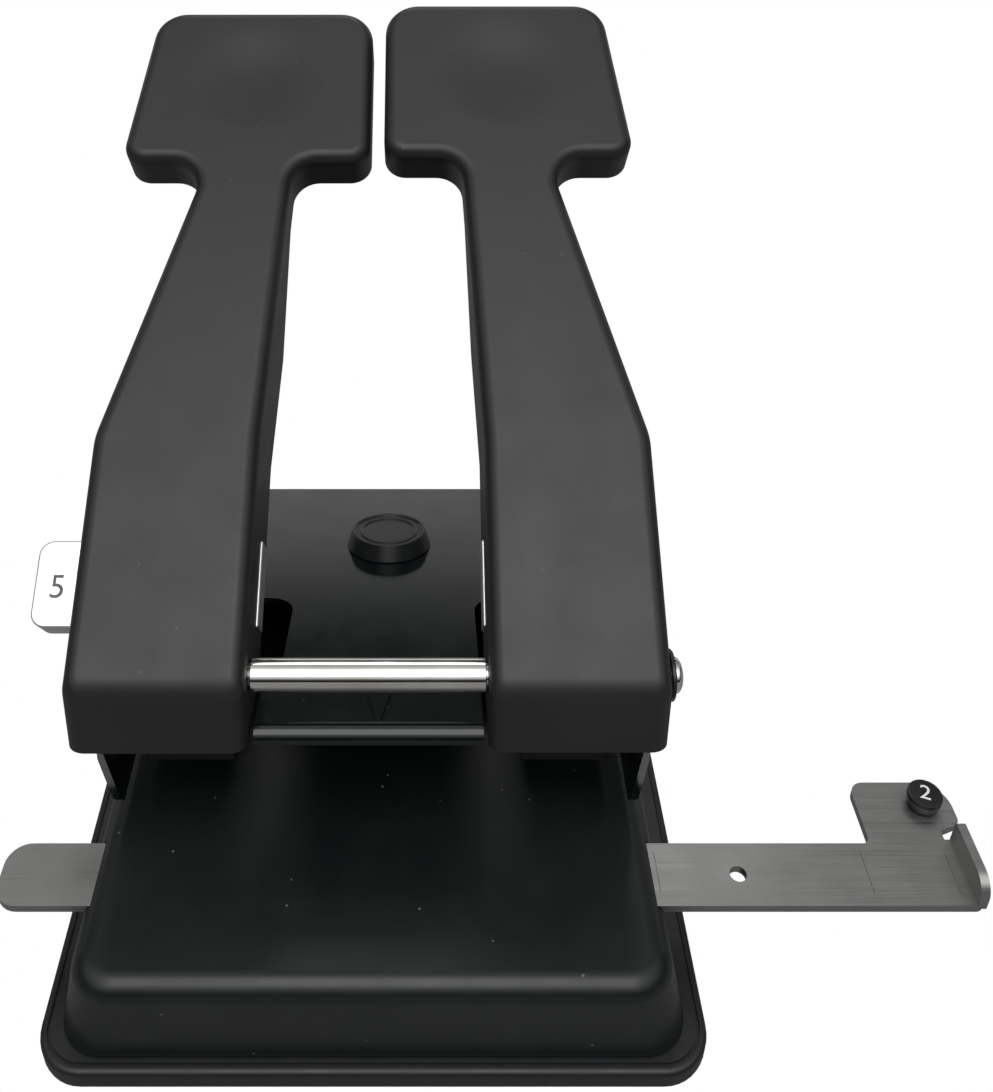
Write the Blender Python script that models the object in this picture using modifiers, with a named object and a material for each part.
# Two-hole desk punch with two hand levers that work side by side, each on its own punch.
# Units are metres. X runs to the right, Y to the rear and Z up.
# The origin is at the middle of the punch on the surface that the tray stands on.

import math

import bmesh
import bpy
from mathutils import Matrix, Vector

# Holes and levers
PUNCH_PITCH = 0.080
PUNCH_Y = -0.012
SHAFT_Y = -0.033
SHAFT_HEIGHT = 0.0415
SHAFT_X = -0.0008
LEFT_RISE = math.radians(33.4)
RIGHT_RISE = math.radians(34.6)

# Running and seating clearances
GAP = 0.0003
PLAY = 0.0004
OVERRUN = 0.004

# Pressed steel base cover, a shallow box that flares to its foot
COVER_TOP_Z = 0.026
COVER_FOOT_Z = 0.0059
COVER_SIDE_LEDGE = 0.0025
COVER_REAR_LEDGE = 0.0049
COVER_FLARE = 0.0045
COVER_FRONT_Y = -0.0700
COVER_END_FLARE = 0.0008
COVER_SHEET = 0.0013
COVER_CORNER = 0.0085
COVER_BEND = 0.0030

# Tray that snaps under the base cover and stands on the table
TRAY_LEDGE_SIDE = 0.0043
TRAY_LEDGE_END = 0.0030
TRAY_CORNER = 0.0095
TRAY_FLOOR = 0.0016
TRAY_UPSTAND = 0.0045
TRAY_UPSTAND_WALL = 0.0013
TRAY_EDGE = 0.0012
TRAY_GROOVE_INSET = 0.0014
TRAY_GROOVE_WIDTH = 0.0007
TRAY_GROOVE_DEPTH = 0.0006

# Frame: a pressed wedge with a sloping plate, two cheeks and an ear for the shaft on each cheek
FRAME_SHEET = 0.0015
PLATE_SLOPE = math.radians(15)
PLATE_FRONT_Y = -0.0392
PLATE_FRONT_HEIGHT = 0.0335
PLATE_REAR_Y = 0.0694
FRAME_LIP_REACH = 0.0010
FRAME_LIP_DROP = 0.0036
CHEEK_BACKSET = 0.0062
CHEEK_NOSE_BACKSET = 0.0022
CHEEK_NOSE_HEIGHT = 0.0033
THROAT_HEIGHT = 0.0045
FRAME_BEND = 0.0028
EAR_RADIUS = 0.0058
EAR_ROOT_SPREAD = 0.0060
EAR_FLANK_ANGLE = math.radians(20)
EAR_INSET = 0.0001
WELL_SIDE_ROOM = 0.0023
WELL_SHIFT = 0.0008
WELL_FRONT_ROOM = 0.0008
WELL_STEP_REACH = 0.0084
WELL_REAR_REACH = 0.0208
WELL_CORNER = 0.0055
WELL_MARGIN = 0.0010
FOOT_WIDTH = 0.0115
FOOT_LIFT = 0.0001
FOOT_SETBACK = 0.0138
FOOT_REAR_ROOM = 0.0043
CENTRE_MARK_LENGTH = 0.0086
CENTRE_MARK_SPREAD = math.radians(12)
CENTRE_MARK_LINE = 0.0006
CENTRE_MARK_DEPTH = 0.00035
CENTRE_MARK_SETBACK = 0.0039
CENTRE_MARK_X = 0.0009

# Round cap pressed into the plate
CAP_X = 0.0012
CAP_SETBACK = 0.0344
CAP_RADIUS = 0.0105
CAP_TAPER = 0.0012
CAP_HEIGHT = 0.0042
CAP_RIM = 0.0009
CAP_RING_WIDTH = 0.0006
CAP_RING_SHARE = 0.72
CAP_DISH = 0.0003
CAP_STEM_RADIUS = 0.0032
CAP_STEM_LENGTH = 0.0035

# Rivets that hold the frame on the base cover
RIVET_RADIUS = 0.0020
RIVET_HEAD_RADIUS = 0.0036
RIVET_HEAD_HEIGHT = 0.0015
RIVET_CROWN_SHARES = (0.6, 0.8)
RIVET_EDGE_INSET = 0.0070
RIVET_END_INSET = 0.0080

# Punch housings, one under each lever
HOUSING_WIDTH = 0.018
HOUSING_SIDE_ROOM = 0.0035
HOUSING_FRONT_REACH = 0.0110
HOUSING_REAR_REACH = 0.0210
THROAT_REACH = 0.0112
HOUSING_HEIGHT = 0.0205
HOUSING_CHAMFER = 0.005
HOUSING_SHOULDER_DROP = 0.0060
HOUSING_SCREW_REACH = 0.0162
HOUSING_SCREW_RADIUS = 0.0019
HOUSING_SCREW_HEAD_RADIUS = 0.0036
HOUSING_SCREW_HEAD_HEIGHT = 0.0022
HOUSING_SCREW_DISH_SHARES = (0.75, 0.6)
HOUSING_SCREW_DEPTH = 0.0085
SPRING_SEAT_DEPTH = 0.0040

# Punch pins
PIN_RADIUS = 0.0028
PIN_HEAD_RADIUS = 0.0048
PIN_HEAD_THICKNESS = 0.0018
PIN_CROWN_RADIUS = 0.0080
PIN_RETRACT = 0.0002
PIN_SADDLE_RADIUS = 0.0036
PIN_SADDLE_DEPTH = 0.0009

# Die bushes in the base cover
DIE_RADIUS = 0.0048
DIE_FLANGE_RADIUS = 0.0068
DIE_FLANGE_HEIGHT = 0.0016

# Return springs round the pins
SPRING_WIRE = 0.0010
SPRING_RADIUS = 0.0041
SPRING_TURNS = 7
SPRING_END_PITCH = 0.0016
SPRING_POINTS_PER_TURN = 9

# Shaft, spacer tube and washers
SHAFT_RADIUS = 0.0023
SHAFT_HEAD_RADIUS = 0.0034
SHAFT_HEAD_HEIGHT = 0.0017
SHAFT_DOME_HEIGHT = 0.0008
SHAFT_CROWN_SHARES = ((0.5, 0.9), (0.85, 0.6), (1.0, 0.2))
SHAFT_SCREW_LENGTH = 0.010
SHAFT_SCREW_SLOT = 0.0009
SHAFT_SCREW_SLOT_DEPTH = 0.0008
SHAFT_SCREW_TURN = math.radians(60)
TUBE_RADIUS = 0.0032
TUBE_CHAMFER = 0.0005
WASHER_RADIUS = 0.0049
WASHER_THICKNESS = 0.0009

# Levers: inverted channels with a neck and a hand pad, drawn in the lever's own frame,
# along the lever (u) and square to its top (w), both from the shaft
LEVER_INNER_REACH = 0.0170
LEVER_SIDE_ROOM = 0.0016
LEVER_SHEET = 0.0016
LEVER_TOP_W = 0.0082
LEVER_NOSE_U = -0.0042
LEVER_NOSE_LEAN_SHARE = 0.90
LEVER_NOSE_DROP = 0.0099
LEVER_WALL_DEPTH = 0.0220
LEVER_SKIRT_DEPTH = 0.0106
LEVER_WALL_END_U = 0.072
LEVER_SKIRT_START_U = 0.100
LEVER_KNEE_U = 0.0461
LEVER_NECK_U = 0.1128
LEVER_KNEE_RADIUS = 0.016
LEVER_NOSE_CORNER = 0.0033
LEVER_EDGE = 0.0030
LEVER_NOSE_SPLIT_U = 0.006
NECK_INNER_SHOULDER = 0.0179
NECK_OUTER_SHOULDER = 0.0200
NECK_FILLET = 0.0062
PAD_INNER_X = 0.0016
PAD_OVERHANG = 0.0022
PAD_TAPER = 0.0052
PAD_LENGTH = 0.0437
PAD_CORNER = 0.0080
PAD_SHOULDER_CORNER = 0.0050
DIMPLE_SETBACK = 0.0190
DIMPLE_RADIUS = 0.0172
DIMPLE_DEPTH = 0.0011
DIMPLE_LIFT = 0.00003
LEVER_BUSH_RADIUS = 0.0040

# Presser bars that cross the levers and push the pins
BAR_START_U = 0.010
BAR_WIDTH = 0.0176
BAR_TOP_W = -0.0052
BAR_THICKNESS = 0.0070
BAR_HANDLE_REACH = 0.0115
BAR_INNER_REACH = 0.0004
BAR_INSET = 0.0002
BAR_CORNER = 0.0030
BAR_EDGE = 0.0004

# Paper gauge that slides under the top of the base cover
GAUGE_SETBACK = 0.0245
GAUGE_WIDTH = 0.0137
GAUGE_THICKNESS = 0.0019
GAUGE_LEFT_REACH = 0.0146
GAUGE_TAB_REACH = 0.0599
GAUGE_TAB_THICKNESS = 0.0018
GAUGE_TAB_HEIGHT = 0.0058
GAUGE_TAB_LENGTH = 0.01455
GAUGE_TAB_CORNER = 0.0042
GAUGE_END_CORNER = 0.0048
GAUGE_HEAD_LENGTH = 0.0186
GAUGE_HEAD_REACH = 0.0215
GAUGE_HEAD_OVERHANG = 0.0018
GAUGE_HEAD_CORNER = 0.0030
GAUGE_HEAD_END_CORNER = 0.0060
GAUGE_HEAD_FILLET = 0.0014
GAUGE_RELIEF_REACH = 0.0115
GAUGE_RELIEF_WIDTH = 0.0029
GAUGE_HOLE_REACH = 0.0124
GAUGE_HOLE_RADIUS = 0.0017
GAUGE_LINE_REACHES = (-0.0040, 0.0385)
GAUGE_LINE_LENGTH = 0.0092
GAUGE_LINE_WIDTH = 0.0003
GAUGE_LINE_DEPTH = 0.0002
GAUGE_LINE_SHIFT = 0.0004
GAUGE_TAB_GROOVE_INSET = 0.0024

# Numbered knob on the gauge
KNOB_END_INSET = 0.0062
KNOB_REAR_INSET = 0.0053
KNOB_RADIUS = 0.0036
KNOB_WAIST_RADIUS = 0.0032
KNOB_WAIST_HEIGHT = 0.0013
KNOB_HEIGHT = 0.0032
KNOB_CHAMFER = 0.0003
KNOB_STEM_RADIUS = 0.0012
KNOB_STEM_HEAD_RADIUS = 0.0022
KNOB_STEM_HEAD_HEIGHT = 0.0008
KNOB_STEM_DISH_SHARE = 0.7

# Guide channel and friction spring for the gauge
GUIDE_END_ROOM = 0.0160
GUIDE_SHEET = 0.0012
GUIDE_SIDE_PLAY = 0.0004
LEAF_LENGTH = 0.034
LEAF_WIDTH = 0.008
LEAF_SHEET = 0.0003
LEAF_ROOM = 0.0016

ARC_STEPS = 5
LEAF_STEPS = 10
ROUND_STEPS = 32
SMALL_ROUND_STEPS = 24
TINY_ROUND_STEPS = 16
ROUND_PROFILE_SHARE = 0.5
SMOOTH_ANGLE = math.radians(35)
MERGE = 0.000001

# Sizes that follow from the ones above, outwards from the two punches
PUNCH_X = PUNCH_PITCH / 2
FRAME_HALF = PUNCH_X + HOUSING_WIDTH / 2 + HOUSING_SIDE_ROOM + FRAME_SHEET
COVER_TOP_HALF = FRAME_HALF + COVER_SIDE_LEDGE
COVER_REAR_Y = PLATE_REAR_Y + COVER_REAR_LEDGE
COVER_UNDER_Z = COVER_TOP_Z - COVER_SHEET
COVER_FOOT_HALF = COVER_TOP_HALF + COVER_FLARE
COVER_FOOT_FRONT_Y = COVER_FRONT_Y - COVER_END_FLARE
COVER_FOOT_REAR_Y = COVER_REAR_Y + COVER_END_FLARE
COVER_FOOT_DROP = COVER_SHEET * math.hypot(COVER_FLARE, COVER_END_FLARE) / (COVER_TOP_Z - COVER_FOOT_Z)
TRAY_HEIGHT = COVER_FOOT_Z - COVER_FOOT_DROP - GAP
TRAY_HALF = COVER_FOOT_HALF + TRAY_LEDGE_SIDE
TRAY_FRONT_Y = COVER_FOOT_FRONT_Y - TRAY_LEDGE_END
TRAY_REAR_Y = COVER_FOOT_REAR_Y + TRAY_LEDGE_END

PLATE_FALL = math.tan(PLATE_SLOPE)
SEAT_Z = COVER_TOP_Z + GAP
SHAFT_Z = COVER_TOP_Z + SHAFT_HEIGHT
PLATE_FRONT_Z = COVER_TOP_Z + PLATE_FRONT_HEIGHT
FRAME_LIP_Y = PLATE_FRONT_Y - FRAME_LIP_REACH
FRAME_LIP_Z = PLATE_FRONT_Z - FRAME_LIP_DROP
THROAT_ROOF_Z = COVER_TOP_Z + THROAT_HEIGHT
THROAT_STOP_Y = PUNCH_Y + THROAT_REACH
WELL_REAR_Y = PUNCH_Y + WELL_REAR_REACH
WELL_STEP_Y = PUNCH_Y - WELL_STEP_REACH
FOOT_FRONT_Y = THROAT_STOP_Y + FOOT_SETBACK
FOOT_REAR_Y = PLATE_REAR_Y - FOOT_REAR_ROOM
CENTRE_MARK_Y = PLATE_FRONT_Y + CENTRE_MARK_SETBACK
CAP_Y = PLATE_REAR_Y - CAP_SETBACK
HOUSING_FRONT_Y = PUNCH_Y - HOUSING_FRONT_REACH
HOUSING_REAR_Y = PUNCH_Y + HOUSING_REAR_REACH
HOUSING_SCREW_Y = PUNCH_Y + HOUSING_SCREW_REACH
HOUSING_TOP_Z = COVER_TOP_Z + HOUSING_HEIGHT
HOUSING_SHOULDER_Z = HOUSING_TOP_Z - HOUSING_SHOULDER_DROP
SPRING_SEAT_Z = HOUSING_TOP_Z - SPRING_SEAT_DEPTH

LEVER_INNER_X = PUNCH_X - LEVER_INNER_REACH
LEVER_OUTER_X = FRAME_HALF + LEVER_SIDE_ROOM + LEVER_SHEET
LEVER_WALL_W = LEVER_TOP_W - LEVER_WALL_DEPTH
LEVER_SKIRT_W = LEVER_TOP_W - LEVER_SKIRT_DEPTH
PAD_OUTER_X = LEVER_OUTER_X + PAD_OVERHANG
PAD_END_U = LEVER_NECK_U + PAD_LENGTH
LEVER_NECK_INNER_X = PAD_INNER_X + NECK_INNER_SHOULDER
LEVER_NECK_OUTER_X = PAD_OUTER_X - NECK_OUTER_SHOULDER
DIMPLE_X = (PAD_INNER_X + PAD_OUTER_X - PAD_TAPER / 2) / 2
DIMPLE_U = PAD_END_U - DIMPLE_SETBACK
WELL_INNER_X = LEVER_INNER_X - WELL_SIDE_ROOM
BAR_UNDER_W = BAR_TOP_W - BAR_THICKNESS
BAR_HANDLE_END_X = LEVER_OUTER_X + BAR_HANDLE_REACH
SHAFT_BORE = SHAFT_RADIUS + GAP
PIN_BORE = PIN_RADIUS + GAP
SPRING_BORE = SPRING_RADIUS + SPRING_WIRE / 2 + PLAY

GAUGE_Y = COVER_FRONT_Y + GAUGE_SETBACK
GAUGE_FRONT_Y = GAUGE_Y - GAUGE_WIDTH / 2
GAUGE_REAR_Y = GAUGE_Y + GAUGE_WIDTH / 2
GAUGE_TOP_Z = COVER_UNDER_Z - PLAY
GAUGE_BOTTOM_Z = GAUGE_TOP_Z - GAUGE_THICKNESS
GAUGE_LEFT_X = COVER_FOOT_HALF + GAUGE_LEFT_REACH
GAUGE_TAB_X = COVER_FOOT_HALF + GAUGE_TAB_REACH
GAUGE_TAB_REAR_Y = GAUGE_FRONT_Y + GAUGE_TAB_LENGTH
GAUGE_HEAD_X = GAUGE_TAB_X - GAUGE_HEAD_LENGTH
GAUGE_HEAD_END_X = GAUGE_TAB_X + GAUGE_HEAD_OVERHANG
GAUGE_HEAD_REAR_Y = GAUGE_Y + GAUGE_HEAD_REACH
GAUGE_RELIEF_Y = GAUGE_Y + GAUGE_RELIEF_REACH
GAUGE_HOLE_X = COVER_FOOT_HALF + GAUGE_HOLE_REACH
KNOB_X = GAUGE_HEAD_END_X - KNOB_END_INSET
KNOB_Y = GAUGE_HEAD_REAR_Y - KNOB_REAR_INSET
GUIDE_HALF_LENGTH = COVER_TOP_HALF - GUIDE_END_ROOM

RIGHT = 1
LEFT = -1
SIDES = (("left", LEFT), ("right", RIGHT))
RISES = {LEFT: LEFT_RISE, RIGHT: RIGHT_RISE}


def plate_z(y):
    """Height of the sloping plate's upper face at y."""
    return PLATE_FRONT_Z - (y - PLATE_FRONT_Y) * PLATE_FALL


def make_material(name, colour, roughness, metallic):
    material = bpy.data.materials.new(name)
    material.use_nodes = True
    shader = material.node_tree.nodes["Principled BSDF"]
    shader.inputs["Base Color"].default_value = (*colour, 1.0)
    shader.inputs["Roughness"].default_value = roughness
    shader.inputs["Metallic"].default_value = metallic
    material.diffuse_color = (*colour, 1.0)
    return material


def make_empty(name, location, rotation=(0, 0, 0)):
    empty = bpy.data.objects.new(name, None)
    empty.location = location
    empty.rotation_euler = rotation
    empty.empty_display_size = SHAFT_HEAD_RADIUS
    part_collection.objects.link(empty)
    return empty


def add_object(name, mesh, parent=None):
    obj = bpy.data.objects.new(name, mesh)
    part_collection.objects.link(obj)
    obj.parent = parent
    return obj


def finish(obj, material, smooth=False):
    """Give a piece its material and its shading."""
    obj.data.materials.clear()
    obj.data.materials.append(material)
    if smooth:
        obj.data.shade_smooth()
        obj.data.set_sharp_from_angle(angle=SMOOTH_ANGLE)
    return obj


def as_cutter(obj):
    """Move an object to the cutters, where it is not shown or rendered."""
    for collection in list(obj.users_collection):
        collection.objects.unlink(obj)
    cutter_collection.objects.link(obj)
    obj.hide_render = True
    obj.display_type = "WIRE"
    return obj


def boolean(target, tool, operation):
    modifier = target.modifiers.new(operation.lower(), "BOOLEAN")
    modifier.operation = operation
    modifier.solver = "EXACT"
    modifier.object = as_cutter(tool)


def cut(target, *tools):
    for tool in tools:
        boolean(target, tool, "DIFFERENCE")


def join(target, *tools):
    for tool in tools:
        boolean(target, tool, "UNION")


def mesh_from_curve(name, curve, matrix, parent=None):
    """Turn a curve into a welded mesh object."""
    source = bpy.data.objects.new(name + "_curve", curve)
    part_collection.objects.link(source)
    bpy.context.view_layer.update()
    evaluated = source.evaluated_get(bpy.context.evaluated_depsgraph_get())
    mesh = bpy.data.meshes.new_from_object(evaluated)
    mesh.name = name
    bpy.data.objects.remove(source)
    bm = bmesh.new()
    bm.from_mesh(mesh)
    bmesh.ops.remove_doubles(bm, verts=bm.verts, dist=MERGE)
    bmesh.ops.recalc_face_normals(bm, faces=bm.faces)
    bm.to_mesh(mesh)
    bm.free()
    obj = add_object(name, mesh, parent)
    obj.matrix_local = matrix
    return obj


def flat_outline(name, points, low, high, matrix=Matrix.Identity(4), parent=None):
    """A flat outline in the matrix's XY plane, filled between two heights along its Z."""
    curve = bpy.data.curves.new(name, "CURVE")
    curve.dimensions = "2D"
    curve.fill_mode = "BOTH"
    curve.extrude = (high - low) / 2
    spline = curve.splines.new("POLY")
    spline.points.add(len(points) - 1)
    for point, (x, y) in zip(spline.points, points):
        point.co = (x, y, 0, 1)
    spline.use_cyclic_u = True
    centre = Matrix.Translation((0, 0, (high + low) / 2))
    return mesh_from_curve(name, curve, matrix @ centre, parent)


# Maps an outline drawn as (Y, Z) to the side view, with its thickness along X
SIDE_VIEW = Matrix(((0, 0, 1, 0), (1, 0, 0, 0), (0, 1, 0, 0), (0, 0, 0, 1)))


def box(name, low, high, parent=None):
    """A block between two corners, made from a scaled cube."""
    bm = bmesh.new()
    bmesh.ops.create_cube(bm, size=1)
    size = [top - bottom for bottom, top in zip(low, high)]
    centre = [(top + bottom) / 2 for bottom, top in zip(low, high)]
    bmesh.ops.scale(bm, verts=bm.verts, vec=size)
    bmesh.ops.translate(bm, verts=bm.verts, vec=centre)
    mesh = bpy.data.meshes.new(name)
    bm.to_mesh(mesh)
    bm.free()
    return add_object(name, mesh, parent)


def turned(name, profile, location, steps=ROUND_STEPS, rotation=(0, 0, 0), parent=None, closed=False):
    """A turned piece: a profile of (radius, height) points that runs down its outer side."""
    mesh = bpy.data.meshes.new(name)
    count = len(profile)
    edges = [(i, i + 1) for i in range(count - 1)]
    if closed:
        edges.append((count - 1, 0))
    mesh.from_pydata([(radius, 0, height) for radius, height in profile], edges, [])
    obj = add_object(name, mesh, parent)
    obj.location = location
    obj.rotation_euler = rotation
    screw = obj.modifiers.new("turn", "SCREW")
    screw.axis = "Z"
    screw.angle = math.tau
    screw.steps = steps
    screw.render_steps = steps
    screw.use_merge_vertices = True
    screw.merge_threshold = MERGE
    screw.use_smooth_shade = True
    return obj


def rod_profile(radius, low, high):
    return [(0, high), (radius, high), (radius, low), (0, low)]


def ring_profile(outer, inner, low, high, chamfer=0):
    if chamfer:
        return [
            (inner, high),
            (outer - chamfer, high),
            (outer, high - chamfer),
            (outer, low + chamfer),
            (outer - chamfer, low),
            (inner, low),
        ]
    return [(inner, high), (outer, high), (outer, low), (inner, low)]


def rod(name, radius, low, high, location, rotation=(0, 0, 0), parent=None, steps=SMALL_ROUND_STEPS):
    return turned(name, rod_profile(radius, low, high), location, steps, rotation, parent)


def fillet(before, corner, after, radius, steps):
    """Points of the arc that rounds one corner of an outline."""
    corner, before, after = Vector(corner), Vector(before), Vector(after)
    to_before = (before - corner).normalized()
    to_after = (after - corner).normalized()
    half = to_before.angle(to_after) / 2
    reach = radius / math.tan(half)
    centre = corner + (to_before + to_after).normalized() * (radius / math.sin(half))
    first = corner + to_before * reach - centre
    last = corner + to_after * reach - centre
    turn = first.angle_signed(last)
    points = []
    for step in range(steps + 1):
        spin = Matrix.Rotation(-turn * step / steps, 2)
        points.append(tuple(centre + spin @ first))
    return points


def rounded(corners, steps=ARC_STEPS):
    """An outline from (x, y, radius) corners, with an arc at each corner that has a radius."""
    points = []
    for index, (x, y, radius) in enumerate(corners):
        before = corners[index - 1][:2]
        after = corners[(index + 1) % len(corners)][:2]
        if radius:
            points += fillet(before, (x, y), after, radius, steps)
        else:
            points.append((x, y))
    return points


def rounded_rectangle(x0, x1, y0, y1, radius, steps=ARC_STEPS):
    corners = [(x0, y0, radius), (x1, y0, radius), (x1, y1, radius), (x0, y1, radius)]
    return rounded(corners, steps)


def face_outwards(bm, top):
    """Point an open shell's faces outwards, judged by its top face."""
    bmesh.ops.recalc_face_normals(bm, faces=bm.faces)
    bm.normal_update()
    if top.normal.z < 0:
        bmesh.ops.reverse_faces(bm, faces=bm.faces)
        bm.normal_update()


def add_solidify(obj, thickness):
    """Thicken an open shell inwards, towards the inside of its normals."""
    solidify = obj.modifiers.new("sheet", "SOLIDIFY")
    solidify.thickness = thickness
    solidify.offset = -1
    solidify.use_even_offset = True


def make_base_cover():
    """Pressed cover: a flared box with bent edges, open below."""
    top = rounded_rectangle(
        -COVER_TOP_HALF, COVER_TOP_HALF, COVER_FRONT_Y, COVER_REAR_Y, COVER_CORNER
    )
    foot = rounded_rectangle(
        -COVER_FOOT_HALF, COVER_FOOT_HALF, COVER_FOOT_FRONT_Y, COVER_FOOT_REAR_Y, COVER_CORNER
    )
    bm = bmesh.new()
    top_verts = [bm.verts.new((x, y, COVER_TOP_Z)) for x, y in top]
    face = bm.faces.new(top_verts)
    rim = list(face.edges)
    skirt = bmesh.ops.extrude_edge_only(bm, edges=rim)["geom"]
    lower = [item for item in skirt if isinstance(item, bmesh.types.BMVert)]
    lower.sort(key=lambda vert: vert.index)
    for vert in lower:
        nearest = min(range(len(top)), key=lambda i: (Vector(top[i]) - vert.co.xy).length)
        vert.co = (*foot[nearest], COVER_FOOT_Z)
    face_outwards(bm, face)
    bmesh.ops.bevel(
        bm, geom=rim, offset=COVER_BEND, offset_type="OFFSET", segments=4, profile=ROUND_PROFILE_SHARE, affect="EDGES"
    )
    mesh = bpy.data.meshes.new("base_cover")
    bm.to_mesh(mesh)
    bm.free()
    cover = add_object("base_cover", mesh)
    add_solidify(cover, COVER_SHEET)

    slot_half = GAUGE_WIDTH / 2 + PLAY
    slot = box(
        "gauge_slot_cutter",
        (-COVER_FOOT_HALF - OVERRUN, GAUGE_Y - slot_half, GAUGE_BOTTOM_Z - PLAY),
        (COVER_FOOT_HALF + OVERRUN, GAUGE_Y + slot_half, GAUGE_TOP_Z + GAP),
    )
    cut(cover, slot)
    for side, sign in SIDES:
        x = sign * PUNCH_X
        die_hole = rod(
            "die_hole_cutter_" + side,
            DIE_RADIUS + GAP,
            COVER_UNDER_Z - OVERRUN,
            COVER_TOP_Z + OVERRUN,
            (x, PUNCH_Y, 0),
            steps=ROUND_STEPS,
        )
        screw_hole = rod(
            "housing_screw_hole_cutter_" + side,
            HOUSING_SCREW_RADIUS + GAP,
            COVER_UNDER_Z - OVERRUN,
            COVER_TOP_Z + OVERRUN,
            (x, HOUSING_SCREW_Y, 0),
            steps=SMALL_ROUND_STEPS,
        )
        cut(cover, die_hole, screw_hole)
    for index, (x, y) in enumerate(rivet_places()):
        hole = rod(
            "rivet_hole_cutter_%d" % index,
            RIVET_RADIUS + GAP,
            COVER_UNDER_Z - OVERRUN,
            COVER_TOP_Z + OVERRUN,
            (x, y, 0),
        )
        cut(cover, hole)
    return finish(cover, black_steel, smooth=True)


def rivet_places():
    x = FRAME_HALF - FRAME_SHEET - RIVET_EDGE_INSET
    rows = (FOOT_FRONT_Y + RIVET_END_INSET, FOOT_REAR_Y - RIVET_END_INSET)
    return [(sign * x, y) for sign in (LEFT, RIGHT) for y in rows]


def make_tray():
    """Chip tray: a flat pan whose rim carries the cover's foot, with an upstand inside the cover."""
    outline = rounded_rectangle(-TRAY_HALF, TRAY_HALF, TRAY_FRONT_Y, TRAY_REAR_Y, TRAY_CORNER)
    tray = flat_outline("base_tray", outline, 0, TRAY_HEIGHT)
    bevel = tray.modifiers.new("edge", "BEVEL")
    bevel.width = TRAY_EDGE
    bevel.segments = 2
    bevel.limit_method = "ANGLE"
    bevel.angle_limit = math.radians(60)

    inset = TRAY_UPSTAND / (COVER_TOP_Z - COVER_FOOT_Z)
    side_in = COVER_SHEET + GAP + COVER_FLARE * inset
    end_in = COVER_SHEET + GAP + COVER_END_FLARE * inset
    half = COVER_FOOT_HALF - side_in
    front = COVER_FOOT_FRONT_Y + end_in
    rear = COVER_FOOT_REAR_Y - end_in
    corner = COVER_CORNER - COVER_SHEET
    upstand = flat_outline(
        "tray_upstand",
        rounded_rectangle(-half, half, front, rear, corner),
        TRAY_FLOOR,
        TRAY_HEIGHT + TRAY_UPSTAND,
    )
    join(tray, upstand)
    wall = TRAY_UPSTAND_WALL
    pan = flat_outline(
        "tray_pan_cutter",
        rounded_rectangle(-half + wall, half - wall, front + wall, rear - wall, corner - wall),
        TRAY_FLOOR,
        TRAY_HEIGHT + TRAY_UPSTAND + OVERRUN,
    )
    cut(tray, pan)

    outer = TRAY_GROOVE_INSET
    inner = TRAY_GROOVE_INSET + TRAY_GROOVE_WIDTH
    groove = flat_outline(
        "tray_groove_cutter",
        rounded_rectangle(
            -TRAY_HALF + outer, TRAY_HALF - outer, TRAY_FRONT_Y + outer, TRAY_REAR_Y - outer,
            TRAY_CORNER - outer,
        ),
        TRAY_HEIGHT - TRAY_GROOVE_DEPTH,
        TRAY_HEIGHT + OVERRUN,
    )
    core = flat_outline(
        "tray_groove_core",
        rounded_rectangle(
            -TRAY_HALF + inner, TRAY_HALF - inner, TRAY_FRONT_Y + inner, TRAY_REAR_Y - inner,
            TRAY_CORNER - inner,
        ),
        TRAY_HEIGHT - TRAY_GROOVE_DEPTH - OVERRUN,
        TRAY_HEIGHT + OVERRUN + OVERRUN,
    )
    cut(groove, core)
    cut(tray, groove)
    return finish(tray, black_rubber, smooth=True)


def make_die_bushes():
    """Hardened rings in the base cover that the punches shear against."""
    flange_top = COVER_UNDER_Z - GAP
    profile = [
        (PIN_BORE, COVER_TOP_Z),
        (DIE_RADIUS, COVER_TOP_Z),
        (DIE_RADIUS, flange_top),
        (DIE_FLANGE_RADIUS, flange_top),
        (DIE_FLANGE_RADIUS, flange_top - DIE_FLANGE_HEIGHT),
        (PIN_BORE, flange_top - DIE_FLANGE_HEIGHT),
    ]
    for side, sign in SIDES:
        bush = turned("die_bush_" + side, profile, (sign * PUNCH_X, PUNCH_Y, 0), closed=True)
        finish(bush, bright_steel)


def frame_profile():
    """Side view of the frame without its ears, as (Y, Z) points."""
    nose_z = THROAT_ROOF_Z + CHEEK_NOSE_HEIGHT
    nose_y = PLATE_FRONT_Y + CHEEK_BACKSET - CHEEK_NOSE_BACKSET
    return [
        (FRAME_LIP_Y, FRAME_LIP_Z),
        (nose_y, nose_z),
        (nose_y + CHEEK_NOSE_BACKSET, THROAT_ROOF_Z),
        (THROAT_STOP_Y, THROAT_ROOF_Z),
        (THROAT_STOP_Y, SEAT_Z),
        (PLATE_REAR_Y, SEAT_Z),
        (PLATE_REAR_Y, plate_z(PLATE_REAR_Y)),
        (PLATE_FRONT_Y, PLATE_FRONT_Z),
    ]


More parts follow.
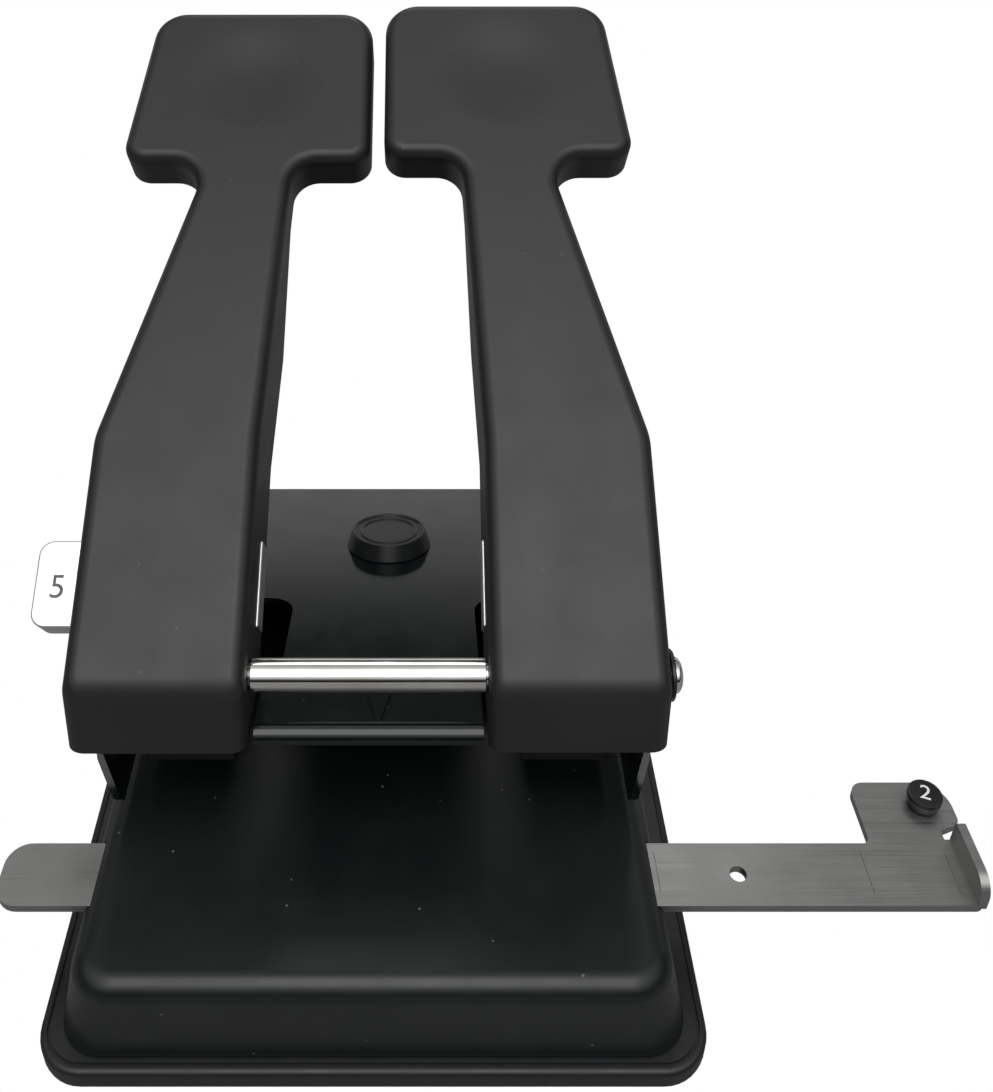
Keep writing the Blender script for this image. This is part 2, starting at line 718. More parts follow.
def make_frame():
    """Pressed wedge frame: plate, lips and cheeks hollowed from below, with ears joined on."""
    frame = flat_outline("frame", frame_profile(), -FRAME_HALF, FRAME_HALF, SIDE_VIEW)
    bm = bmesh.new()
    bm.from_mesh(frame.data)
    bmesh.ops.dissolve_limit(bm, angle_limit=math.radians(1), verts=bm.verts, edges=bm.edges)
    edges = [edge for edge in bm.edges if is_bent_edge(edge)]
    bmesh.ops.bevel(
        bm, geom=edges, offset=FRAME_BEND, offset_type="OFFSET", segments=3, profile=ROUND_PROFILE_SHARE, affect="EDGES"
    )
    bm.to_mesh(frame.data)
    bm.free()

    inner_half = FRAME_HALF - FRAME_SHEET
    drop = FRAME_SHEET / math.cos(PLATE_SLOPE)
    front_in = PLATE_FRONT_Y + FRAME_SHEET
    rear_in = PLATE_REAR_Y - FRAME_SHEET
    lip_edge = FRAME_LIP_Z + GAP
    well_outer = inner_half - WELL_MARGIN
    hollow = flat_outline(
        "frame_hollow_cutter",
        [
            (FRAME_LIP_Y + FRAME_SHEET, lip_edge),
            (front_in, plate_z(front_in) - drop),
            (rear_in, plate_z(rear_in) - drop),
            (rear_in, SEAT_Z - OVERRUN),
            (FRAME_LIP_Y - OVERRUN, SEAT_Z - OVERRUN),
            (FRAME_LIP_Y - OVERRUN, lip_edge),
        ],
        -inner_half,
        inner_half,
        SIDE_VIEW,
    )
    cut(frame, hollow)

    for side, sign in SIDES:
        foot = box(
            "frame_foot_" + side,
            (min(sign * inner_half, sign * (inner_half - FOOT_WIDTH)), FOOT_FRONT_Y, SEAT_Z + FOOT_LIFT),
            (max(sign * inner_half, sign * (inner_half - FOOT_WIDTH)), FOOT_REAR_Y, SEAT_Z + FRAME_SHEET),
        )
        foot.data.transform(Matrix.Translation((sign * FRAME_SHEET / 2, 0, 0)))
        ear_faces = sorted((sign * (inner_half + EAR_INSET), sign * (FRAME_HALF - EAR_INSET)))
        ear = flat_outline("frame_ear_" + side, ear_outline(), *ear_faces, SIDE_VIEW)
        join(frame, foot, ear)
        # The well is narrow at the lip, where only the lever's wall dips in, and wider round the punch
        front_x = SHAFT_X + sign * (LEVER_INNER_X - WELL_FRONT_ROOM)
        well = flat_outline(
            "frame_well_cutter_" + side,
            rounded(
                [
                    (front_x, FRAME_LIP_Y - OVERRUN, 0),
                    (sign * well_outer, FRAME_LIP_Y - OVERRUN, 0),
                    (sign * well_outer, WELL_REAR_Y, WELL_CORNER),
                    (WELL_SHIFT + sign * WELL_INNER_X, WELL_REAR_Y, WELL_CORNER),
                    (WELL_SHIFT + sign * WELL_INNER_X, WELL_STEP_Y, 0),
                    (front_x, WELL_STEP_Y, 0),
                ]
            ),
            HOUSING_SHOULDER_Z,
            SHAFT_Z,
        )
        cut(frame, well)

    shaft_hole = rod(
        "frame_shaft_cutter",
        SHAFT_BORE,
        -FRAME_HALF - OVERRUN,
        FRAME_HALF + OVERRUN,
        (0, SHAFT_Y, SHAFT_Z),
        (0, math.radians(90), 0),
    )
    cut(frame, shaft_hole)
    for index, (x, y) in enumerate(rivet_places()):
        hole = rod(
            "foot_rivet_cutter_%d" % index,
            RIVET_RADIUS + GAP,
            SEAT_Z - OVERRUN,
            SEAT_Z + FRAME_SHEET + GAP,
            (x, y, 0),
        )
        cut(frame, hole)
    cap_hole = rod(
        "cap_hole_cutter",
        CAP_STEM_RADIUS + GAP,
        -OVERRUN,
        OVERRUN,
        (CAP_X, CAP_Y, plate_z(CAP_Y)),
        (-PLATE_SLOPE, 0, 0),
    )
    cut(frame, cap_hole)
    for sign in (LEFT, RIGHT):
        arm = box(
            "centre_mark_cutter",
            (-CENTRE_MARK_LINE / 2, 0, -CENTRE_MARK_DEPTH),
            (CENTRE_MARK_LINE / 2, CENTRE_MARK_LENGTH, CENTRE_MARK_DEPTH),
        )
        arm.rotation_euler = (-PLATE_SLOPE, 0, -sign * CENTRE_MARK_SPREAD)
        arm.location = (
            CENTRE_MARK_X + sign * CENTRE_MARK_LINE,
            CENTRE_MARK_Y,
            plate_z(CENTRE_MARK_Y),
        )
        cut(frame, arm)
    return finish(frame, gloss_black_steel, smooth=True)


def is_bent_edge(edge):
    """True for the edges of the plate and for the two side edges of the front lip."""
    on_plate = [abs(v.co.y - plate_z(v.co.x)) < MERGE * 10 for v in edge.verts]
    at_lip_foot = [abs(v.co.x - FRAME_LIP_Y) < MERGE * 10 for v in edge.verts]
    return all(on_plate) or (any(on_plate) and any(at_lip_foot))


def ear_outline():
    """Ear that carries the shaft: a round head on two sloping flanks."""
    root_front = SHAFT_Y - EAR_RADIUS
    root_rear = SHAFT_Y + EAR_RADIUS + EAR_ROOT_SPREAD
    points = [(root_front, plate_z(root_front) - FRAME_BEND - FRAME_SHEET)]
    points.append((root_rear, plate_z(root_rear) - FRAME_BEND - FRAME_SHEET))
    steps = ARC_STEPS * 3
    for step in range(steps + 1):
        angle = EAR_FLANK_ANGLE + (math.pi - EAR_FLANK_ANGLE) * step / steps
        points.append((SHAFT_Y + EAR_RADIUS * math.cos(angle), SHAFT_Z + EAR_RADIUS * math.sin(angle)))
    return points


def make_cap():
    """Round tapered cap with a raised rim and an inner ring, on a stem through the plate."""
    crown = CAP_RADIUS - CAP_TAPER
    ring = crown * CAP_RING_SHARE
    floor = CAP_HEIGHT - CAP_DISH
    profile = [
        (0, floor),
        (ring - CAP_RING_WIDTH, floor),
        (ring - CAP_RING_WIDTH / 2, CAP_HEIGHT),
        (ring + CAP_RING_WIDTH / 2, CAP_HEIGHT),
        (ring + CAP_RING_WIDTH, floor),
        (crown - CAP_RIM, floor),
        (crown - CAP_RIM + CAP_DISH, CAP_HEIGHT),
        (crown - CAP_DISH, CAP_HEIGHT),
        (crown, CAP_HEIGHT - CAP_DISH),
        (CAP_RADIUS, GAP),
        (CAP_STEM_RADIUS, GAP),
        (CAP_STEM_RADIUS, -CAP_STEM_LENGTH),
        (0, -CAP_STEM_LENGTH),
    ]
    cap = turned("frame_cap", profile, (CAP_X, CAP_Y, plate_z(CAP_Y)), ROUND_STEPS, (-PLATE_SLOPE, 0, 0))
    finish(cap, black_plastic)


def make_frame_rivets():
    """Four rivets through the frame's feet and the base cover."""
    top = SEAT_Z + FRAME_SHEET + GAP
    bottom = COVER_UNDER_Z - GAP
    shoulder = RIVET_HEAD_RADIUS * RIVET_CROWN_SHARES[0]
    rise = RIVET_HEAD_HEIGHT * RIVET_CROWN_SHARES[1]
    profile = [
        (0, top + RIVET_HEAD_HEIGHT),
        (shoulder, top + rise),
        (RIVET_HEAD_RADIUS, top),
        (RIVET_RADIUS, top),
        (RIVET_RADIUS, bottom),
        (RIVET_HEAD_RADIUS, bottom),
        (shoulder, bottom - rise),
        (0, bottom - RIVET_HEAD_HEIGHT),
    ]
    names = ("left_front", "left_rear", "right_front", "right_rear")
    for name, (x, y) in zip(names, rivet_places()):
        rivet = turned("frame_rivet_" + name, profile, (x, y, 0), TINY_ROUND_STEPS)
        finish(rivet, bright_steel)


def make_housings():
    """C-shaped blocks that guide the pins above the throat and stand on the base behind it."""
    outline = [
        (HOUSING_FRONT_Y, THROAT_ROOF_Z),
        (THROAT_STOP_Y, THROAT_ROOF_Z),
        (THROAT_STOP_Y, SEAT_Z),
        (HOUSING_REAR_Y, SEAT_Z),
        (HOUSING_REAR_Y, HOUSING_SHOULDER_Z),
        (WELL_REAR_Y - GAP, HOUSING_TOP_Z - HOUSING_CHAMFER / 2),
        (WELL_REAR_Y - HOUSING_CHAMFER / 2, HOUSING_TOP_Z),
        (HOUSING_FRONT_Y + HOUSING_CHAMFER, HOUSING_TOP_Z),
        (HOUSING_FRONT_Y, HOUSING_TOP_Z - HOUSING_CHAMFER),
    ]
    for side, sign in SIDES:
        x = sign * PUNCH_X
        housing = flat_outline(
            "punch_housing_" + side, outline, x - HOUSING_WIDTH / 2, x + HOUSING_WIDTH / 2, SIDE_VIEW
        )
        bore = rod(
            "pin_bore_cutter_" + side,
            PIN_BORE,
            THROAT_ROOF_Z - OVERRUN,
            HOUSING_TOP_Z + OVERRUN,
            (x, PUNCH_Y, 0),
        )
        seat = rod(
            "spring_seat_cutter_" + side,
            SPRING_BORE,
            SPRING_SEAT_Z,
            HOUSING_TOP_Z + OVERRUN,
            (x, PUNCH_Y, 0),
        )
        screw_hole = rod(
            "housing_screw_cutter_" + side,
            HOUSING_SCREW_RADIUS + GAP,
            SEAT_Z - OVERRUN,
            SEAT_Z + HOUSING_SCREW_DEPTH,
            (x, HOUSING_SCREW_Y, 0),
            steps=TINY_ROUND_STEPS,
        )
        cut(housing, screw_hole, bore, seat)
        finish(housing, black_steel, smooth=True)


def make_housing_screws():
    """Screws that hold the housings from below, through the base cover."""
    head_top = COVER_UNDER_Z - GAP
    profile = [
        (0, SEAT_Z + HOUSING_SCREW_DEPTH - GAP),
        (HOUSING_SCREW_RADIUS, SEAT_Z + HOUSING_SCREW_DEPTH - GAP - HOUSING_SCREW_RADIUS / 2),
        (HOUSING_SCREW_RADIUS, head_top),
        (HOUSING_SCREW_HEAD_RADIUS, head_top),
        (HOUSING_SCREW_HEAD_RADIUS, head_top - HOUSING_SCREW_HEAD_HEIGHT * HOUSING_SCREW_DISH_SHARES[1]),
        (HOUSING_SCREW_HEAD_RADIUS * HOUSING_SCREW_DISH_SHARES[0], head_top - HOUSING_SCREW_HEAD_HEIGHT),
        (0, head_top - HOUSING_SCREW_HEAD_HEIGHT),
    ]
    for side, sign in SIDES:
        place = (sign * PUNCH_X, HOUSING_SCREW_Y, 0)
        screw = turned("housing_screw_" + side, profile, place, TINY_ROUND_STEPS)
        finish(screw, bright_steel)


def pin_crown_centre_z(rise):
    """Height of the centre of the pin's domed crown, which just clears the raised presser bar."""
    reach = PUNCH_Y - SHAFT_Y
    w = BAR_UNDER_W - PIN_CROWN_RADIUS - PLAY
    return SHAFT_Z + (w + reach * math.sin(rise)) / math.cos(rise)


def pin_shoulder_z(rise):
    """Underside of the pin's head."""
    edge = math.sqrt(PIN_CROWN_RADIUS ** 2 - PIN_HEAD_RADIUS ** 2)
    return pin_crown_centre_z(rise) + edge - PIN_HEAD_THICKNESS


def make_pin(side, sign):
    """Punch pin with a domed head and a cutting end ground to a saddle."""
    centre = pin_crown_centre_z(RISES[sign])
    shoulder = pin_shoulder_z(RISES[sign])
    tip = THROAT_ROOF_Z + PIN_RETRACT
    crown_edge = math.asin(PIN_HEAD_RADIUS / PIN_CROWN_RADIUS)
    profile = []
    for step in range(ARC_STEPS + 1):
        angle = crown_edge * step / ARC_STEPS
        profile.append((PIN_CROWN_RADIUS * math.sin(angle), centre + PIN_CROWN_RADIUS * math.cos(angle)))
    profile += [
        (PIN_HEAD_RADIUS, shoulder),
        (PIN_RADIUS, shoulder),
        (PIN_RADIUS, tip),
        (0, tip),
    ]
    slide = make_empty("punch_axis_" + side, (sign * PUNCH_X, PUNCH_Y, 0))
    pin = turned("punch_pin_" + side, profile, (0, 0, 0), SMALL_ROUND_STEPS, parent=slide)
    saddle = rod(
        "saddle_cutter_" + side,
        PIN_SADDLE_RADIUS,
        -PIN_RADIUS - OVERRUN,
        PIN_RADIUS + OVERRUN,
        (sign * PUNCH_X, PUNCH_Y, tip - PIN_SADDLE_RADIUS + PIN_SADDLE_DEPTH),
        (0, math.radians(90), 0),
        steps=ROUND_STEPS,
    )
    cut(pin, saddle)
    finish(pin, bright_steel)


def spring_points(rise):
    """Helix with a closer turn at each end, from its seat up to the pin's head."""
    radius = SPRING_RADIUS
    low = SPRING_SEAT_Z + GAP + SPRING_WIRE / 2
    high = pin_shoulder_z(rise) - GAP - SPRING_WIRE / 2
    body_pitch = (high - low - 2 * SPRING_END_PITCH) / (SPRING_TURNS - 2)
    points = []
    for step in range(SPRING_TURNS * SPRING_POINTS_PER_TURN + 1):
        turn = step / SPRING_POINTS_PER_TURN
        first = min(turn, 1)
        body = min(max(turn - 1, 0), SPRING_TURNS - 2)
        last = max(turn - SPRING_TURNS + 1, 0)
        z = low + (first + last) * SPRING_END_PITCH + body * body_pitch
        angle = math.tau * turn
        points.append(Vector((radius * math.cos(angle), radius * math.sin(angle), z)))
    return points


def least_gap(points, wire, spacing):
    """Least clear distance between turns of a wound wire."""
    least = math.inf
    for index, point in enumerate(points):
        for other in points[index + spacing:]:
            least = min(least, (point - other).length - wire)
    return least


def make_spring(side, sign):
    points = spring_points(RISES[sign])
    gap = least_gap(points, SPRING_WIRE, SPRING_POINTS_PER_TURN // 2)
    print("least gap between the turns of the %s return spring: %.2f mm" % (side, gap * 1000))
    curve = bpy.data.curves.new("return_spring_" + side, "CURVE")
    curve.dimensions = "3D"
    curve.bevel_depth = SPRING_WIRE / 2
    curve.bevel_resolution = 1
    curve.use_fill_caps = True
    spline = curve.splines.new("POLY")
    spline.points.add(len(points) - 1)
    for target, point in zip(spline.points, points):
        target.co = (point.x, sign * point.y, point.z, 1)
    place = Matrix.Translation((sign * PUNCH_X, PUNCH_Y, 0))
    spring = mesh_from_curve("return_spring_" + side, curve, place)
    finish(spring, spring_steel, smooth=True)


ALONG_X = (0, math.radians(90), 0)
SHAFT_PLACE = (SHAFT_X, SHAFT_Y, SHAFT_Z)


def crown_profile(radius, seat, height):
    """Low dome that ends the shaft or its screw, from the crown down to the seat."""
    points = [(0, seat + height)]
    points += [(radius * r, seat + height * h) for r, h in SHAFT_CROWN_SHARES]
    return points + [(radius, seat)]


def make_shaft():
    """Shaft with a plain domed end on the left and a slotted screw on a washer on the right."""
    washer_x = LEVER_OUTER_X + PLAY
    left_seat = LEVER_OUTER_X + PLAY
    seat = washer_x + WASHER_THICKNESS + GAP
    core = SHAFT_RADIUS / 2
    shaft = turned(
        "main_shaft",
        crown_profile(SHAFT_RADIUS, left_seat, SHAFT_DOME_HEIGHT)
        + [(SHAFT_RADIUS, -seat + GAP), (0, -seat + GAP)],
        SHAFT_PLACE,
        SMALL_ROUND_STEPS,
        (0, math.radians(-90), 0),
    )
    thread_hole = rod(
        "shaft_thread_cutter",
        core + GAP,
        seat - SHAFT_SCREW_LENGTH,
        seat + OVERRUN,
        SHAFT_PLACE,
        ALONG_X,
        steps=TINY_ROUND_STEPS,
    )
    cut(shaft, thread_hole)
    finish(shaft, chrome_steel)

    screw_end = seat - SHAFT_SCREW_LENGTH + GAP
    screw = turned(
        "shaft_screw",
        crown_profile(SHAFT_HEAD_RADIUS, seat, SHAFT_HEAD_HEIGHT)
        + [(core, seat), (core, screw_end), (0, screw_end)],
        SHAFT_PLACE,
        SMALL_ROUND_STEPS,
        ALONG_X,
    )
    slot = box(
        "screw_slot_cutter",
        (
            seat + SHAFT_HEAD_HEIGHT - SHAFT_SCREW_SLOT_DEPTH,
            -SHAFT_HEAD_RADIUS - OVERRUN,
            -SHAFT_SCREW_SLOT / 2,
        ),
        (seat + SHAFT_HEAD_HEIGHT + OVERRUN, SHAFT_HEAD_RADIUS + OVERRUN, SHAFT_SCREW_SLOT / 2),
    )
    slot.location = SHAFT_PLACE
    slot.rotation_euler = (SHAFT_SCREW_TURN, 0, 0)
    cut(screw, slot)
    finish(screw, chrome_steel)

    washer = turned(
        "shaft_washer",
        ring_profile(WASHER_RADIUS, SHAFT_BORE, washer_x, washer_x + WASHER_THICKNESS),
        SHAFT_PLACE,
        SMALL_ROUND_STEPS,
        ALONG_X,
        closed=True,
    )
    finish(washer, black_plastic)

    half = LEVER_INNER_X - PLAY
    tube = turned(
        "spacer_tube",
        ring_profile(TUBE_RADIUS, SHAFT_BORE, -half, half, TUBE_CHAMFER),
        SHAFT_PLACE,
        ROUND_STEPS,
        ALONG_X,
        closed=True,
    )
    finish(tube, chrome_steel)


def lever_outline(sign):
    """Plan of a lever's top as (X, u) points."""
    corners = [
        (LEVER_INNER_X, LEVER_NOSE_U, LEVER_NOSE_CORNER),
        (LEVER_OUTER_X, LEVER_NOSE_U, LEVER_NOSE_CORNER),
        (LEVER_OUTER_X, LEVER_KNEE_U, LEVER_KNEE_RADIUS),
        (LEVER_NECK_OUTER_X, LEVER_NECK_U, NECK_FILLET),
        (PAD_OUTER_X, LEVER_NECK_U, PAD_SHOULDER_CORNER),
        (PAD_OUTER_X - PAD_TAPER, PAD_END_U, PAD_CORNER),
        (PAD_INNER_X, PAD_END_U, PAD_CORNER),
        (PAD_INNER_X, LEVER_NECK_U, PAD_SHOULDER_CORNER),
        (LEVER_NECK_INNER_X, LEVER_NECK_U, NECK_FILLET),
        (LEVER_INNER_X, LEVER_KNEE_U, LEVER_KNEE_RADIUS),
    ]
    return [(sign * x, u) for x, u in rounded(corners)]


def dimple_profile():
    """A soft round hollow for the palm, as a turned cutter."""
    points = [(0, LEVER_TOP_W + OVERRUN), (DIMPLE_RADIUS, LEVER_TOP_W + OVERRUN)]
    for step in range(ARC_STEPS + 1):
        share = 1 - step / ARC_STEPS
        depth = DIMPLE_DEPTH * (1 + math.cos(math.pi * share)) / 2
        lift = DIMPLE_LIFT if step == 0 else 0
        points.append((DIMPLE_RADIUS * share, LEVER_TOP_W - depth + lift))
    return points


def make_lever(side, sign, hinge):
    """Pressed lever: an outline with a skirt, bent edges and a sheet's thickness, cut to its depth."""
    outline = lever_outline(sign)
    bm = bmesh.new()
    top = bm.faces.new([bm.verts.new((x, u, LEVER_TOP_W)) for x, u in outline])
    rim = list(top.edges)
    skirt = bmesh.ops.extrude_edge_only(bm, edges=rim)["geom"]
    full = LEVER_WALL_DEPTH + OVERRUN
    for vert in skirt:
        if isinstance(vert, bmesh.types.BMVert):
            vert.co.z -= full
            if vert.co.y < LEVER_NOSE_SPLIT_U:
                vert.co.y -= LEVER_NOSE_LEAN_SHARE * full
    face_outwards(bm, top)
    bmesh.ops.bevel(
        bm, geom=rim, offset=LEVER_EDGE, offset_type="OFFSET", segments=4, profile=ROUND_PROFILE_SHARE, affect="EDGES"
    )
    mesh = bpy.data.meshes.new("lever_" + side)
    bm.to_mesh(mesh)
    bm.free()
    lever = add_object("lever_" + side, mesh, hinge)
    add_solidify(lever, LEVER_SHEET)

    slope = math.tan(RISES[sign])
    # The nose's lower edge is level with the table; this is where it meets the wall's lower edge
    nose_w = -LEVER_NOSE_DROP / math.cos(RISES[sign])
    meet_u = (nose_w - LEVER_WALL_W) / slope
    far_u = -LEVER_KNEE_U
    trim = flat_outline(
        "lever_trim_cutter_" + side,
        [
            (far_u, nose_w - far_u * slope),
            (far_u, -PAD_END_U),
            (PAD_END_U + OVERRUN, -PAD_END_U),
            (PAD_END_U + OVERRUN, LEVER_SKIRT_W),
            (LEVER_SKIRT_START_U, LEVER_SKIRT_W),
            (LEVER_WALL_END_U, LEVER_WALL_W),
            (meet_u, LEVER_WALL_W),
        ],
        -PAD_OUTER_X - OVERRUN,
        PAD_OUTER_X + OVERRUN,
        SIDE_VIEW,
        hinge,
    )
    slot = box(
        "bar_slot_cutter_" + side,
        (-LEVER_OUTER_X - OVERRUN, BAR_START_U - GAP, BAR_UNDER_W - GAP),
        (LEVER_OUTER_X + OVERRUN, BAR_START_U + BAR_WIDTH + GAP, BAR_TOP_W + GAP),
        hinge,
    )
    shaft_hole = rod(
        "lever_shaft_cutter_" + side,
        SHAFT_BORE,
        -LEVER_OUTER_X - OVERRUN,
        LEVER_OUTER_X + OVERRUN,
        (0, 0, 0),
        ALONG_X,
        hinge,
    )
    dimple = turned(
        "dimple_cutter_" + side, dimple_profile(), (sign * DIMPLE_X, DIMPLE_U, 0), ROUND_STEPS, parent=hinge
    )
    cut(lever, trim, slot, shaft_hole, dimple)
    finish(lever, satin_black_steel, smooth=True)


def make_lever_bush(side, sign, hinge):
    """Bush between the lever's inner wall and the frame's cheek."""
    inner = LEVER_INNER_X + LEVER_SHEET + GAP
    outer = FRAME_HALF - FRAME_SHEET - PLAY - sign * SHAFT_X
    low, high = (inner, outer) if sign > 0 else (-outer, -inner)
    bush = turned(
        "lever_bush_" + side,
        ring_profile(LEVER_BUSH_RADIUS, SHAFT_BORE, low, high),
        (0, 0, 0),
        SMALL_ROUND_STEPS,
        ALONG_X,
        hinge,
        closed=True,
    )
    finish(bush, bright_steel)


def make_presser_bar(side, sign, hinge):
    """Bar across the lever that pushes the pin; the left one reaches out as a numbered handle."""
    inner = LEVER_INNER_X - BAR_INNER_REACH
    outer = BAR_HANDLE_END_X if sign < 0 else LEVER_OUTER_X - BAR_INSET
    ends = (inner, outer) if sign > 0 else (-outer, -inner)
    end_corner = BAR_CORNER if sign < 0 else 0
    corners = [
        (ends[0], BAR_START_U, end_corner),
        (ends[1], BAR_START_U, 0),
        (ends[1], BAR_START_U + BAR_WIDTH, 0),
        (ends[0], BAR_START_U + BAR_WIDTH, end_corner),
    ]
    bar = flat_outline(
        "presser_bar_" + side, rounded(corners), BAR_UNDER_W, BAR_TOP_W, parent=hinge
    )
    bevel = bar.modifiers.new("edge", "BEVEL")
    bevel.width = BAR_EDGE
    bevel.segments = 1
    bevel.limit_method = "ANGLE"
    bevel.angle_limit = math.radians(60)
    finish(bar, bright_steel, smooth=True)


def gauge_outline():
    """Plan of the paper gauge: a long strip, an upper head on the right and a relief by the tab."""
    relief_x = GAUGE_TAB_X - GAUGE_RELIEF_WIDTH
    return rounded(
        [
            (-GAUGE_LEFT_X, GAUGE_FRONT_Y, GAUGE_END_CORNER),
            (GAUGE_TAB_X, GAUGE_FRONT_Y, GAUGE_TAB_THICKNESS),
            (GAUGE_TAB_X, GAUGE_TAB_REAR_Y, 0),
            (relief_x, GAUGE_TAB_REAR_Y, 0),
            (relief_x, GAUGE_RELIEF_Y - GAUGE_TAB_THICKNESS, 0),
            (GAUGE_HEAD_END_X, GAUGE_RELIEF_Y, GAUGE_TAB_THICKNESS),
            (GAUGE_HEAD_END_X, GAUGE_HEAD_REAR_Y, GAUGE_HEAD_END_CORNER),
            (GAUGE_HEAD_X, GAUGE_HEAD_REAR_Y, GAUGE_HEAD_CORNER),
            (GAUGE_HEAD_X, GAUGE_REAR_Y, GAUGE_HEAD_FILLET),
            (-GAUGE_LEFT_X, GAUGE_REAR_Y, GAUGE_END_CORNER),
        ]
    )


def make_gauge():
    """Paper gauge: strip, head and upturned tab from one sheet, with index lines and a hole."""
    gauge = flat_outline("gauge_bar", gauge_outline(), GAUGE_BOTTOM_Z, GAUGE_TOP_Z)
    tab_top = GAUGE_TOP_Z + GAUGE_TAB_HEIGHT
    tab_low = GAUGE_BOTTOM_Z + GAUGE_THICKNESS / 2
    tab = flat_outline(
        "gauge_tab",
        rounded(
            [
                (GAUGE_FRONT_Y, tab_low, 0),
                (GAUGE_TAB_REAR_Y, tab_low, 0),
                (GAUGE_TAB_REAR_Y, tab_top, GAUGE_TAB_THICKNESS / 2),
                (GAUGE_FRONT_Y, tab_top, GAUGE_TAB_CORNER),
            ]
        ),
        GAUGE_TAB_X - GAUGE_TAB_THICKNESS,
        GAUGE_TAB_X,
        SIDE_VIEW,
    )
    join(gauge, tab)
    hole = rod(
        "gauge_hole_cutter",
        GAUGE_HOLE_RADIUS,
        GAUGE_BOTTOM_Z - OVERRUN,
        GAUGE_TOP_Z + OVERRUN,
        (GAUGE_HOLE_X, GAUGE_Y, 0),
    )
    knob_hole = rod(
        "knob_hole_cutter",
        KNOB_STEM_RADIUS + GAP,
        GAUGE_BOTTOM_Z - OVERRUN,
        GAUGE_TOP_Z + OVERRUN,
        (KNOB_X, KNOB_Y, 0),
        steps=TINY_ROUND_STEPS,
    )
    cut(gauge, hole, knob_hole)
    lines = [(COVER_FOOT_HALF + reach, GAUGE_Y + GAUGE_LINE_SHIFT) for reach in GAUGE_LINE_REACHES]
    lines.append((GAUGE_TAB_X - GAUGE_TAB_THICKNESS - GAUGE_TAB_GROOVE_INSET, GAUGE_Y))
    for x, y in lines:
        line = box(
            "gauge_line_cutter",
            (x - GAUGE_LINE_WIDTH / 2, y - GAUGE_LINE_LENGTH / 2, GAUGE_TOP_Z - GAUGE_LINE_DEPTH),
            (x + GAUGE_LINE_WIDTH / 2, y + GAUGE_LINE_LENGTH / 2, GAUGE_TOP_Z + OVERRUN),
        )
        cut(gauge, line)
    return finish(gauge, brushed_steel, smooth=True)


def make_knob():
    """Round knob with a waist, on a headed stem through the gauge."""
    low = GAUGE_TOP_Z + GAP
    knob_top = low + KNOB_HEIGHT
    waist = low + KNOB_WAIST_HEIGHT
    profile = [
        (0, knob_top),
        (KNOB_RADIUS - KNOB_CHAMFER, knob_top),
        (KNOB_RADIUS, knob_top - KNOB_CHAMFER),
        (KNOB_RADIUS, waist + KNOB_CHAMFER),
        (KNOB_WAIST_RADIUS, waist),
        (KNOB_WAIST_RADIUS, low),
        (KNOB_STEM_RADIUS + GAP, low),
        (KNOB_STEM_RADIUS + GAP, waist),
        (0, waist),
    ]
    knob = turned("gauge_knob", profile, (KNOB_X, KNOB_Y, 0), SMALL_ROUND_STEPS)
    finish(knob, black_plastic)
    head_top = GAUGE_BOTTOM_Z - GAP
    stem = turned(
        "knob_stem",
        [
            (0, waist - GAP),
            (KNOB_STEM_RADIUS, waist - GAP),
            (KNOB_STEM_RADIUS, head_top),
            (KNOB_STEM_HEAD_RADIUS, head_top),
            (KNOB_STEM_HEAD_RADIUS, head_top - KNOB_STEM_HEAD_HEIGHT / 2),
            (KNOB_STEM_HEAD_RADIUS * KNOB_STEM_DISH_SHARE, head_top - KNOB_STEM_HEAD_HEIGHT),
            (0, head_top - KNOB_STEM_HEAD_HEIGHT),
        ],
        (KNOB_X, KNOB_Y, 0),
        TINY_ROUND_STEPS,
    )
    finish(stem, bright_steel)


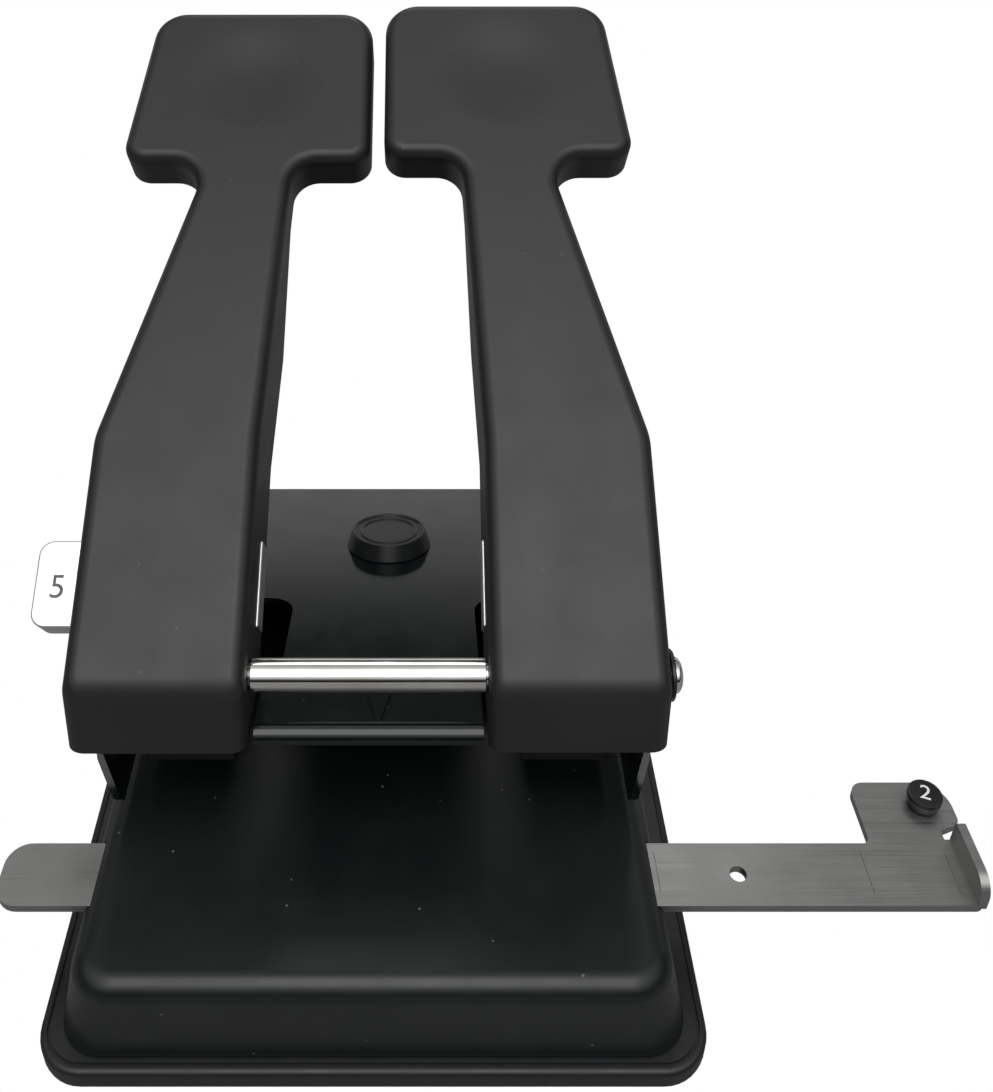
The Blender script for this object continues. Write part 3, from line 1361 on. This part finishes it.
def make_guide():
    """Channel under the cover's top that holds the gauge up, with a leaf spring on its floor."""
    inner_half = GAUGE_WIDTH / 2 + GUIDE_SIDE_PLAY
    outer_half = inner_half + GUIDE_SHEET
    floor_top = GAUGE_BOTTOM_Z - LEAF_ROOM
    floor_low = floor_top - GUIDE_SHEET
    top = COVER_UNDER_Z - GAP
    outline = [
        (GAUGE_Y - outer_half, top),
        (GAUGE_Y - outer_half, floor_low),
        (GAUGE_Y + outer_half, floor_low),
        (GAUGE_Y + outer_half, top),
        (GAUGE_Y + inner_half, top),
        (GAUGE_Y + inner_half, floor_top),
        (GAUGE_Y - inner_half, floor_top),
        (GAUGE_Y - inner_half, top),
    ]
    guide = flat_outline("gauge_guide", outline, -GUIDE_HALF_LENGTH, GUIDE_HALF_LENGTH, SIDE_VIEW)
    finish(guide, bright_steel)

    crest = LEAF_ROOM - 2 * GAP - LEAF_SHEET
    upper = []
    for step in range(LEAF_STEPS + 1):
        share = step / LEAF_STEPS
        x = LEAF_LENGTH * (share - 1 / 2)
        lift = crest * (1 - math.cos(math.tau * share)) / 2
        upper.append((x, floor_top + GAP + lift))
    lower = [(x, z + LEAF_SHEET) for x, z in reversed(upper)]
    front_view = Matrix(((1, 0, 0, 0), (0, 0, -1, 0), (0, 1, 0, 0), (0, 0, 0, 1)))
    leaf = flat_outline(
        "gauge_friction_spring",
        upper + lower,
        -GAUGE_Y - LEAF_WIDTH / 2,
        -GAUGE_Y + LEAF_WIDTH / 2,
        front_view,
    )
    finish(leaf, spring_steel, smooth=True)


for stale in list(bpy.data.objects):
    bpy.data.objects.remove(stale)

part_collection = bpy.data.collections.new("two_hole_punch")
cutter_collection = bpy.data.collections.new("cutters")
bpy.context.scene.collection.children.link(part_collection)
bpy.context.scene.collection.children.link(cutter_collection)

black_rubber = make_material("black_rubber", (0.012, 0.013, 0.014), 0.55, 0.0)
black_steel = make_material("black_steel", (0.016, 0.018, 0.019), 0.42, 0.2)
gloss_black_steel = make_material("gloss_black_steel", (0.010, 0.014, 0.014), 0.18, 0.2)
satin_black_steel = make_material("satin_black_steel", (0.030, 0.031, 0.032), 0.45, 0.2)
black_plastic = make_material("black_plastic", (0.012, 0.013, 0.014), 0.35, 0.0)
bright_steel = make_material("bright_steel", (0.72, 0.72, 0.70), 0.28, 1.0)
chrome_steel = make_material("chrome_steel", (0.82, 0.81, 0.78), 0.10, 1.0)
brushed_steel = make_material("brushed_steel", (0.60, 0.59, 0.57), 0.32, 1.0)
spring_steel = make_material("spring_steel", (0.42, 0.42, 0.43), 0.35, 1.0)

make_tray()
make_base_cover()
make_die_bushes()
make_frame()
make_cap()
make_frame_rivets()
make_housings()
make_housing_screws()
make_shaft()
for lever_side, lever_sign in SIDES:
    lever_hinge = make_empty("hinge_" + lever_side, SHAFT_PLACE, (RISES[lever_sign], 0, 0))
    make_lever(lever_side, lever_sign, lever_hinge)
    make_lever_bush(lever_side, lever_sign, lever_hinge)
    make_presser_bar(lever_side, lever_sign, lever_hinge)
    make_pin(lever_side, lever_sign)
    make_spring(lever_side, lever_sign)
make_gauge()
make_knob()
make_guide()
bpy.context.view_layer.update()
